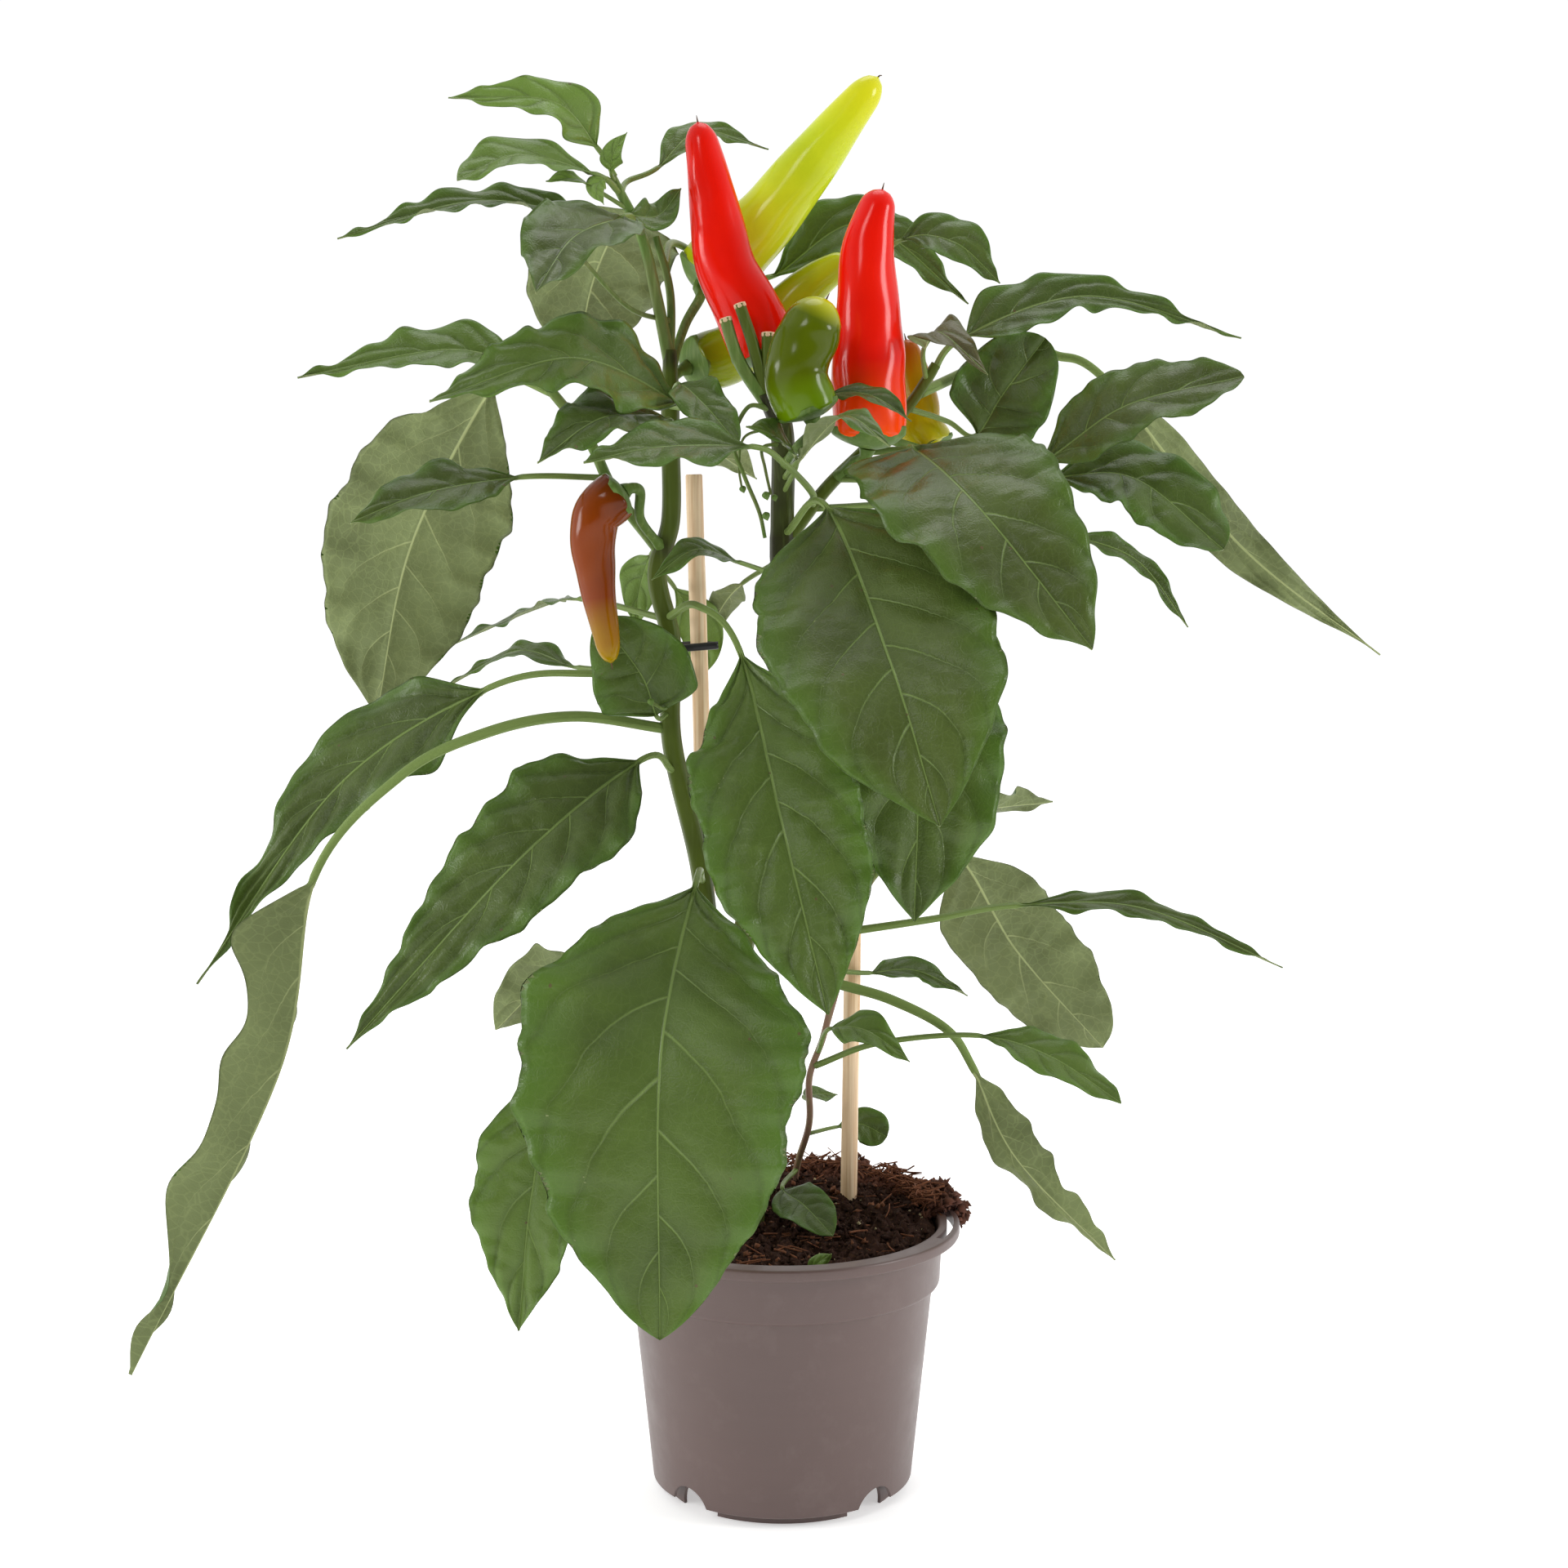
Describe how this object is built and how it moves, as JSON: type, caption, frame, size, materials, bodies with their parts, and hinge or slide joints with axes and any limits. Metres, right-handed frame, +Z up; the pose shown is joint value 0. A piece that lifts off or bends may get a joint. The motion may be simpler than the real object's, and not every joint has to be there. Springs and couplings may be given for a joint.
{
  "type": "potted chilli pepper plant",
  "caption": "Young chilli pepper plant with red, orange, yellow and green pods and pointed leaves, staked with bamboo canes in a round taupe plastic grower pot",
  "frame": {"origin": "centre of the pot's foot ring, on the surface it stands on", "axes": "+Z up along the pot's axis, -Y towards the plant's front, +X to its right"},
  "size_m": [0.4409, 0.231, 0.5158],
  "materials": {
    "pot_plastic": "satin",
    "peat": "rough, crumbly",
    "bamboo": "dry",
    "tie_plastic": "soft sheen",
    "stem": "smooth, faintly ribbed",
    "shoot": "smooth",
    "leaf": "soft sheen",
    "red_pod": "waxy gloss",
    "yellow_pod": "waxy gloss",
    "green_pod": "waxy gloss",
    "orange_pod": "waxy gloss"
  },
  "bodies": {
    "root": {"cane_left": "bamboo", "cane_right": "bamboo", "cane_tie": "tie_plastic", "chilli_green_right": "green_pod", "chilli_green_small": "green_pod", "chilli_orange_hanging": "orange_pod", "chilli_red_left": "red_pod", "chilli_red_right": "red_pod", "chilli_yellow_back": "yellow_pod", "chilli_yellow_top": "yellow_pod", "leaf_back_1": "leaf", "leaf_back_2": "leaf", "leaf_back_3": "leaf", "leaf_back_4": "leaf", "leaf_back_5": "leaf", "leaf_crown_1": "leaf", "leaf_crown_2": "leaf", "leaf_crown_3": "leaf", "leaf_crown_4": "leaf", "leaf_crown_5": "leaf", "leaf_crown_6": "leaf", "leaf_front_1": "leaf", "leaf_front_2": "leaf", "leaf_front_3": "leaf", "leaf_front_4": "leaf", "leaf_front_5": "leaf", "leaf_front_6": "leaf", "leaf_front_7": "leaf", "leaf_front_8": "leaf", "leaf_front_9": "leaf", "leaf_left_1": "leaf", "leaf_left_10": "leaf", "leaf_left_11": "leaf", "leaf_left_2": "leaf", "leaf_left_3": "leaf", "leaf_left_4": "leaf", "leaf_left_5": "leaf", "leaf_left_6": "leaf", "leaf_left_7": "leaf", "leaf_left_8": "leaf", "leaf_left_9": "leaf", "leaf_low_1": "leaf", "leaf_low_2": "leaf", "leaf_low_3": "leaf", "leaf_low_4": "leaf", "leaf_low_5": "leaf", "leaf_low_6": "leaf", "leaf_low_7": "leaf", "leaf_right_1": "leaf", "leaf_right_2": "leaf", "leaf_right_3": "leaf", "leaf_right_4": "leaf", "leaf_right_5": "leaf", "leaf_right_6": "leaf", "leaf_right_7": "leaf", "leaf_right_8": "leaf", "main_stem": "stem", "pot": "pot_plastic", "side_shoot": "shoot", "soil": "peat"}
  },
  "joints": []
}
